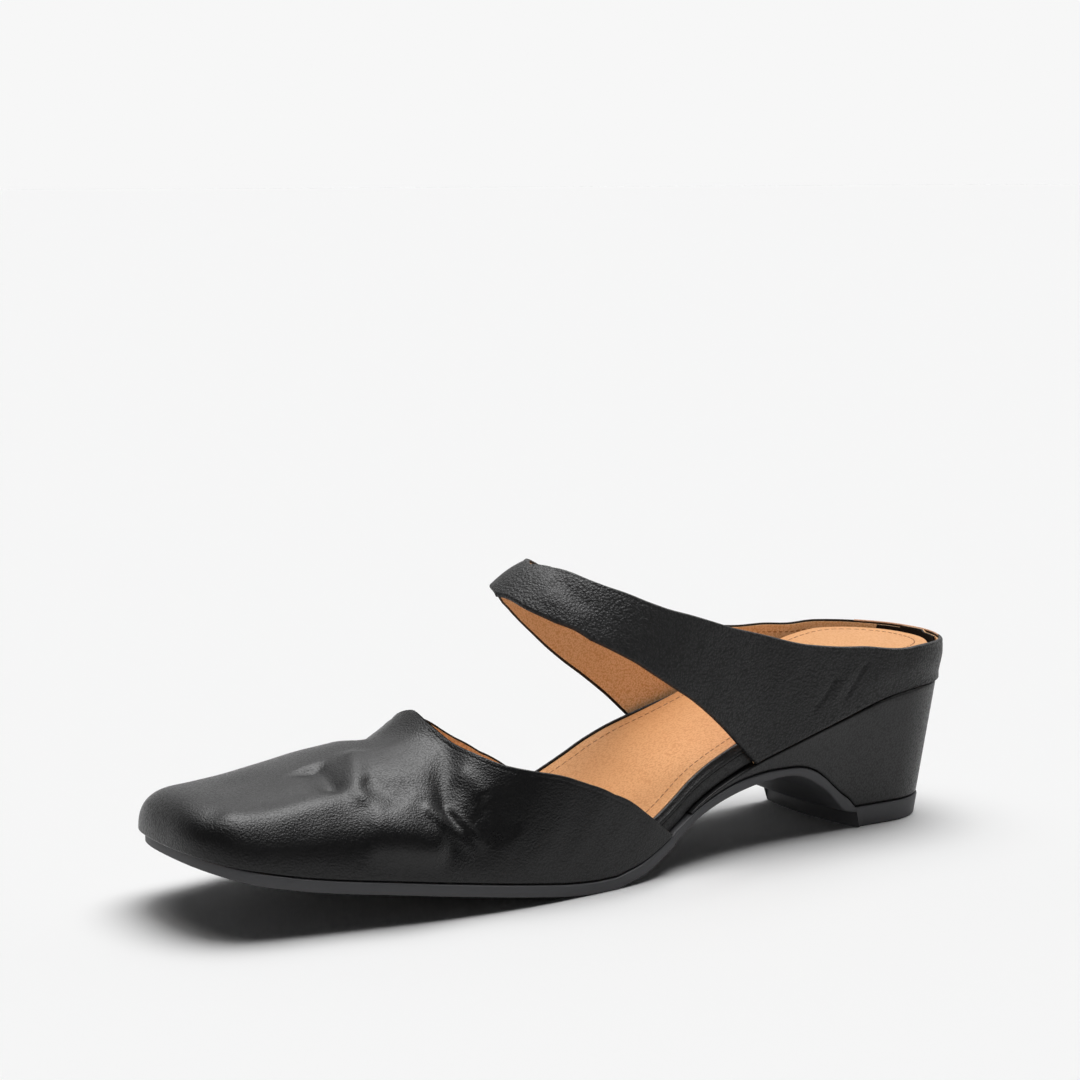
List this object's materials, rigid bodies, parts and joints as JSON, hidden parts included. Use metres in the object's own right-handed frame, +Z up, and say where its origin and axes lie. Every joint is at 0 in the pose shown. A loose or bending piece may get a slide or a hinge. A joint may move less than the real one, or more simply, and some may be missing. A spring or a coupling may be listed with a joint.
{
  "type": "leather mule shoe",
  "caption": "Left women's leather mule with a square toe, an instep strap that becomes the heel quarter, and a low wedge heel with an arched breast.",
  "frame": {"origin": "on the floor, at the middle of the heel's top piece", "axes": "+X from the heel towards the toe, +Y towards the wearer's left, which is the shoe's outer side, +Z up"},
  "size_m": [0.2551, 0.077, 0.0845],
  "materials": {
    "outsole_rubber": "matte moulded rubber",
    "heel_cover_leather": "smooth satin leather over the heel block",
    "footbed_edge_leather": "smooth satin leather wrapped over the board's edge",
    "sock_leather": "plain tan lining leather, matte",
    "vamp_leather": "fine-grained black leather, semi-gloss",
    "quarter_leather": "fine-grained black leather, semi-gloss"
  },
  "bodies": {
    "root": {"outsole": "outsole_rubber", "heel_wedge": "heel_cover_leather", "footbed": "footbed_edge_leather", "insole_sock": "sock_leather", "vamp": "vamp_leather", "quarter_strap": "quarter_leather"}
  },
  "joints": []
}
